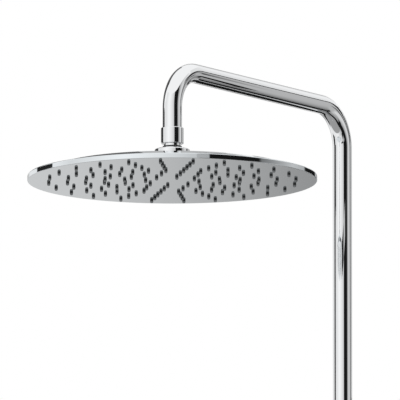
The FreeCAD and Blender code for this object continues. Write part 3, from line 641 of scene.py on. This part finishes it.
bender = bpy.data.node_groups.new("tube_bender", "GeometryNodeTree")
bender.is_modifier = True
bender.interface.new_socket(name="Geometry", in_out="INPUT", socket_type="NodeSocketGeometry")
bender.interface.new_socket(name="Geometry", in_out="OUTPUT", socket_type="NodeSocketGeometry")
radius_socket = socket(bender, "Tube Radius", "NodeSocketFloat", pipe_radius)
first_bend_socket = socket(bender, "Riser Bend", "NodeSocketFloat", riser_bend)
second_bend_socket = socket(bender, "Drop Bend", "NodeSocketFloat", drop_bend)
steps_socket = socket(bender, "Bend Steps", "NodeSocketInt", bend_steps)
finish_socket = socket(bender, "Finish", "NodeSocketMaterial", None)
given = bender.nodes.new("NodeGroupInput")
made = bender.nodes.new("NodeGroupOutput")
corner_number = bender.nodes.new("GeometryNodeInputIndex")
is_first = bender.nodes.new("FunctionNodeCompare")
is_first.data_type = "INT"
is_first.operation = "EQUAL"
is_first.inputs[3].default_value = 1
bend_radius = bender.nodes.new("GeometryNodeSwitch")
bend_radius.input_type = "FLOAT"
fillet = bender.nodes.new("GeometryNodeFilletCurve")
fillet.mode = "POLY"
section = bender.nodes.new("GeometryNodeCurvePrimitiveCircle")
section.inputs["Resolution"].default_value = tube_steps
tube = bender.nodes.new("GeometryNodeCurveToMesh")
tube.inputs["Fill Caps"].default_value = True
realise = bender.nodes.new("GeometryNodeRealizeInstances")
paint = bender.nodes.new("GeometryNodeSetMaterial")
bender.links.new(corner_number.outputs["Index"], is_first.inputs[2])
bender.links.new(is_first.outputs["Result"], bend_radius.inputs["Switch"])
bender.links.new(given.outputs["Drop Bend"], bend_radius.inputs["False"])
bender.links.new(given.outputs["Riser Bend"], bend_radius.inputs["True"])
bender.links.new(given.outputs["Geometry"], fillet.inputs["Curve"])
bender.links.new(bend_radius.outputs["Output"], fillet.inputs["Radius"])
bender.links.new(given.outputs["Bend Steps"], fillet.inputs["Count"])
bender.links.new(given.outputs["Tube Radius"], section.inputs["Radius"])
bender.links.new(fillet.outputs["Curve"], tube.inputs["Curve"])
bender.links.new(section.outputs["Curve"], tube.inputs["Profile Curve"])
bender.links.new(tube.outputs["Mesh"], realise.inputs["Geometry"])
bender.links.new(realise.outputs["Geometry"], paint.inputs["Geometry"])
bender.links.new(given.outputs["Finish"], paint.inputs["Material"])
bender.links.new(paint.outputs["Geometry"], made.inputs["Geometry"])

route_object = bpy.data.objects.new("pipe_route", route)
bpy.context.scene.collection.objects.link(route_object)
bent_tube = plain_mesh("bent_tube", route_object, bender, {
    radius_socket: pipe_radius, first_bend_socket: riser_bend, second_bend_socket: drop_bend,
    steps_socket: bend_steps, finish_socket: chrome,
})
bpy.data.objects.remove(route_object)
stands_for(bent_tube, "root", "chrome", "riser_pipe")

# The bracket holds the riser off the wall: a zinc plated base with a spigot, a chromed sleeve and ring
# over it, a set screw from below, and a rosette that hides the base.
bracket_place = Vector((0, 0, (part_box("bracket_base")[0].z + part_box("bracket_base")[1].z) / 2))
clamp_place = Vector((0, riser_y, bracket_place.z))
bracket_plate = pressed_rosette("bracket_plate", 27, 10.3, bracket_place)
stands_for(bracket_plate, "root", "chrome", "bracket_rosette")
sleeve = turned("sleeve", (
    (7.05, 9.4, 0), (10, 9.4, 0.3), (10, wall_gap - 12, 0), (0, wall_gap - 12, 0), (0, 24.3, 0),
    (7.05, 24.3, 0),
), bracket_place, outward, chrome)
clamp = turned("clamp", (
    (11.3, -11, 0.2), (13.8, -11, 0.3), (15, -9.8, 0.5), (15, 9.8, 0.5), (13.8, 11, 0.3), (11.3, 11, 0.2),
), clamp_place, up, chrome)
holder = joined("pipe_holder", clamp, sleeve)
stands_for(holder, "root", "chrome", "bracket_holder")

# The shower head hangs from a collar that screws on the pipe. Collar, neck and ball are turned in one
# piece and chromed, and a black rubber ring on the neck hides the mouth of the hub.
ball_radius = 11
ball_height = 27
ball_steps = 24


def ball_line(radius, start, end):
    """Outline points along the ball between two heights from its middle."""
    first = math.asin(start / radius)
    last = math.asin(end / radius)
    return tuple(
        (radius * math.cos(first + (last - first) * step / ball_steps),
         ball_height + radius * math.sin(first + (last - first) * step / ball_steps), 0)
        for step in range(ball_steps + 1)
    )


neck_radius = 8.7
neck_start = math.sqrt(ball_radius ** 2 - neck_radius ** 2)
collar = turned("collar_and_ball", (
    (4.5, 17.6, 0), *ball_line(ball_radius, -9.4, neck_start), (neck_radius, 38.7, 0.3),
    (11.75, 38.7, 0.9), (11.75, 55.6, 0.9), (10, 55.6, 0), (10, 45.6, 0), (6, 45.6, 0), (6, 39.6, 0),
    (4.5, 39.6, 0),
), head_middle, up, chrome)
stands_for(collar, "root", "chrome", "swivel_ball")
ring_on_neck = turned("rubber_ring", (
    (neck_radius, 34.5, 0), (10, 34.5, 0.3), (10, 36.3, 0.4), (neck_radius, 36.3, 0),
), head_middle, up, black_rubber)
stands_for(ring_on_neck, "root", "seal_rubber", "neck_ring")

# The hub holds the ball between a turned socket that stands on the shell and a crowned cap that is
# screwed over it. Both are chromed brass.
seat_height = 15.3
flange_top = seat_height + 2.2
socket_radius = 12.8
mouth_radius = 11.6
mouth_start = math.sqrt(socket_radius ** 2 - mouth_radius ** 2)
crown_cap = turned("hub_crown", (
    (16.55, flange_top, 0), (18.2, flange_top, 0.2), (18.2, 32.7, 1.4), (mouth_radius, 34.8, 0.4),
    *reversed(ball_line(socket_radius, 0, mouth_start)), (16.55, ball_height, 0),
), head_middle, up, chrome)
stands_for(crown_cap, "head", "chrome", "hub_cap")
hub_base = turned("hub_base", (
    (7, 7.7, 0), (9.5, 7.7, 0), (9.5, seat_height, 0), (21.5, seat_height, 0.2),
    (21.5, flange_top - 0.8, 0.4), (20.7, flange_top, 0.3), (16.5, flange_top, 0), (16.5, ball_height, 0),
    *reversed(ball_line(socket_radius, -10.7, 0)), (7, 15, 0),
), head_middle, up, chrome)
stands_for(hub_base, "head", "chrome", "hub_socket")

# The top shell is a crown pressed from thin stainless steel and mirror polished. It stands on a rubber
# ring inside the rim.
shell_wall = 1.2
steel = metal("mirror_steel", (0.79, 0.826, 0.848), 0.035, 0.015, 45)
shell = turned("crown_shell", (
    (9.55, seat_height, 0), (24, seat_height, 0), (125.2, 13.3, 59), (139, 5.5, 1.2), (148.55, 5.5, 0.2),
    (148.55, 4.3, 0), (139, 4.3, 0), (125.2, 12.1, 59), (24, seat_height - shell_wall, 0),
    (9.55, seat_height - shell_wall, 0),
), head_middle, up, steel)
stands_for(shell, "head", "polished_steel", "top_shell")

# The spray plate is a pan of the same steel with an upright rim. It is punched with six rings of holes,
# and the silicone nozzles of the mat behind it stand through them. The silicone's colour has painted
# shade in it: lighter at the nozzles' tips and almost black where they leave the plate.
head_radius = 150
mat_radius = 134
ring_shares = (0.209, 0.373, 0.526, 0.672, 0.813, 0.959)
ring_counts = (8, 16, 24, 24, 24, 24)
pattern_turn = math.radians(-1.5)
hole_radius = 1.8
nozzle_root = 1.7
nozzle_tip = 1.35
nozzle_reach = 3.2
nozzle_sides = 14
punch_sides = 16
silicone_colour = (0.105, 0.11, 0.113)
silicone_specular = 0.15
# Painted shade on the nozzles: their colour is scaled by these factors, lighter at the tips and darker at
# the roots.
tip_painted_shade = 0.9
tip_share = 0.7
root_painted_shade = 0.12
root_share = 0.2

rows = bpy.data.node_groups.new("nozzle_rows", "GeometryNodeTree")
rows.is_modifier = True
rows.interface.new_socket(name="Geometry", in_out="OUTPUT", socket_type="NodeSocketGeometry")
piece_socket = socket(rows, "Piece", "NodeSocketObject", None)
field_socket = socket(rows, "Mat Radius", "NodeSocketFloat", mat_radius * mm)
turn_socket = socket(rows, "Pattern Turn", "NodeSocketFloat", pattern_turn)
middle_socket = socket(rows, "Middle", "NodeSocketVector", tuple(head_middle))
skin_socket = socket(rows, "Finish", "NodeSocketMaterial", None)
given = rows.nodes.new("NodeGroupInput")
made = rows.nodes.new("NodeGroupOutput")
all_rings = rows.nodes.new("GeometryNodeJoinGeometry")
for share, count in zip(ring_shares, ring_counts):
    reach = rows.nodes.new("ShaderNodeMath")
    reach.operation = "MULTIPLY"
    reach.inputs[1].default_value = share
    hoop = rows.nodes.new("GeometryNodeMeshCircle")
    hoop.inputs["Vertices"].default_value = count
    rows.links.new(given.outputs["Mat Radius"], reach.inputs[0])
    rows.links.new(reach.outputs[0], hoop.inputs["Radius"])
    rows.links.new(hoop.outputs["Mesh"], all_rings.inputs["Geometry"])
swing = rows.nodes.new("ShaderNodeCombineXYZ")
stand = rows.nodes.new("GeometryNodeTransform")
shape = rows.nodes.new("GeometryNodeObjectInfo")
copies = rows.nodes.new("GeometryNodeInstanceOnPoints")
realise = rows.nodes.new("GeometryNodeRealizeInstances")
paint = rows.nodes.new("GeometryNodeSetMaterial")
rows.links.new(given.outputs["Pattern Turn"], swing.inputs["Z"])
rows.links.new(swing.outputs["Vector"], stand.inputs["Rotation"])
rows.links.new(given.outputs["Middle"], stand.inputs["Translation"])
rows.links.new(all_rings.outputs["Geometry"], stand.inputs["Geometry"])
rows.links.new(stand.outputs["Geometry"], copies.inputs["Points"])
rows.links.new(given.outputs["Piece"], shape.inputs["Object"])
rows.links.new(shape.outputs["Geometry"], copies.inputs["Instance"])
rows.links.new(copies.outputs["Instances"], realise.inputs["Geometry"])
rows.links.new(realise.outputs["Geometry"], paint.inputs["Geometry"])
rows.links.new(given.outputs["Finish"], paint.inputs["Material"])
rows.links.new(paint.outputs["Geometry"], made.inputs["Geometry"])


def at_every_nozzle(name, outline, sides, finish):
    """One small turned form repeated at every nozzle, as one plain mesh."""
    one = turned("one_" + name, outline, Vector((0, 0, 0)), up, finish, round_steps=sides)
    carrier = bpy.data.objects.new("carrier", bpy.data.meshes.new("carrier"))
    bpy.context.scene.collection.objects.link(carrier)
    field = plain_mesh(name, carrier, rows, {
        piece_socket: one, field_socket: mat_radius * mm, turn_socket: pattern_turn,
        middle_socket: tuple(head_middle), skin_socket: finish,
    })
    bpy.data.objects.remove(carrier)
    bpy.data.objects.remove(one)
    return field


silicone = moulded("grey_silicone", silicone_colour, 0.55, 0.25, 1200)
silicone_shader = silicone.node_tree.nodes["Principled BSDF"]
silicone_shader.inputs["Specular IOR Level"].default_value = silicone_specular
# Painted shade: the silicone's colour is scaled down by height, darker towards the plate, and the mat above
# the roots takes the darkest.
silicone_skin = silicone_shader.inputs["Base Color"].links[0].from_socket
silicone_place = silicone.node_tree.nodes.new("ShaderNodeTexCoord")
silicone_height = silicone.node_tree.nodes.new("ShaderNodeSeparateXYZ")
silicone_painted_shade = silicone.node_tree.nodes.new("ShaderNodeMapRange")
silicone_painted_shade.interpolation_type = "SMOOTHSTEP"
silicone_painted_shade.inputs["From Min"].default_value = head_middle.z - tip_share * nozzle_reach * mm
silicone_painted_shade.inputs["From Max"].default_value = head_middle.z - root_share * nozzle_reach * mm
silicone_painted_shade.inputs["To Min"].default_value = tip_painted_shade
silicone_painted_shade.inputs["To Max"].default_value = root_painted_shade
silicone_colour_with_painted_shade = silicone.node_tree.nodes.new("ShaderNodeVectorMath")
silicone_colour_with_painted_shade.operation = "SCALE"
silicone.node_tree.links.new(silicone_place.outputs["Object"], silicone_height.inputs["Vector"])
silicone.node_tree.links.new(silicone_height.outputs["Z"], silicone_painted_shade.inputs["Value"])
silicone.node_tree.links.new(silicone_skin, silicone_colour_with_painted_shade.inputs[0])
silicone.node_tree.links.new(silicone_painted_shade.outputs["Result"], silicone_colour_with_painted_shade.inputs["Scale"])
silicone.node_tree.links.new(silicone_colour_with_painted_shade.outputs["Vector"], silicone_shader.inputs["Base Color"])

pan = turned("spray_pan", (
    (0, 0, 0), (head_radius, 0, 0.5), (head_radius, 5.5, 1.1), (148.6, 5.5, 0.2), (148.6, 1.2, 0),
    (0, 1.2, 0),
), head_middle, up, steel)
punches = at_every_nozzle("punches", (
    (0, -1, 0), (hole_radius, -1, 0), (hole_radius, 3, 0), (0, 3, 0),
), punch_sides, steel)
pan.modifiers.clear()
punched = pan.modifiers.new("punched", "BOOLEAN")
punched.object = punches
punched.operation = "DIFFERENCE"
punched.solver = "EXACT"
graph = bpy.context.evaluated_depsgraph_get()
form = bmesh.new()
form.from_mesh(bpy.data.meshes.new_from_object(pan.evaluated_get(graph)))
bpy.data.objects.remove(pan)
bpy.data.objects.remove(punches)
spray_face = finished("spray_face", form, steel)
stands_for(spray_face, "head", "polished_steel", "spray_plate")

nozzles = at_every_nozzle("nozzles", (
    (0, 2, 0), (nozzle_root, 2, 0), (nozzle_root, -1.5, 1.2), (nozzle_tip, -nozzle_reach, 0.75),
    (0.5, -nozzle_reach, 0), (0.4, -nozzle_reach + 1.2, 0), (0, -nozzle_reach + 1.2, 0),
), nozzle_sides, silicone)
mat = turned("mat", ((0, 1.2, 0), (mat_radius, 1.2, 0.3), (mat_radius, 2.7, 0.3), (0, 2.7, 0)),
             head_middle, up, silicone)
stands_for(mat, "head", "silicone", "nozzle_mat")
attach(nozzles, "head")

# What stays inside keeps the shape that the construction gives it, with the finish of its own material:
# turned brass, zinc plated steel, plastic, ceramic and rubber.
finishes = {
    "chrome": chrome,
    "polished_steel": steel,
    "brass": metal("turned_brass", (0.78, 0.60, 0.30), 0.28, 0.08, 400),
    "silicone": silicone,
    "seal_rubber": black_rubber,
    "white_plastic": moulded("white_plastic", (0.82, 0.82, 0.80), 0.4, 0.2, 700),
    "grey_plastic": moulded("grey_plastic", (0.42, 0.43, 0.45), 0.42, 0.2, 700),
    "zinc_steel": metal("zinc_plate", (0.62, 0.63, 0.64), 0.35, 0.1, 300),
    "ceramic": moulded("lapped_ceramic", (0.86, 0.85, 0.82), 0.2, 0.05, 500),
}
slots = {row["node"]: row["material_slot"] for row in frame["record"]["subparts"]}
for name, node in nodes.items():
    node.data.materials.clear()
    node.data.materials.append(finishes[slots[name]])
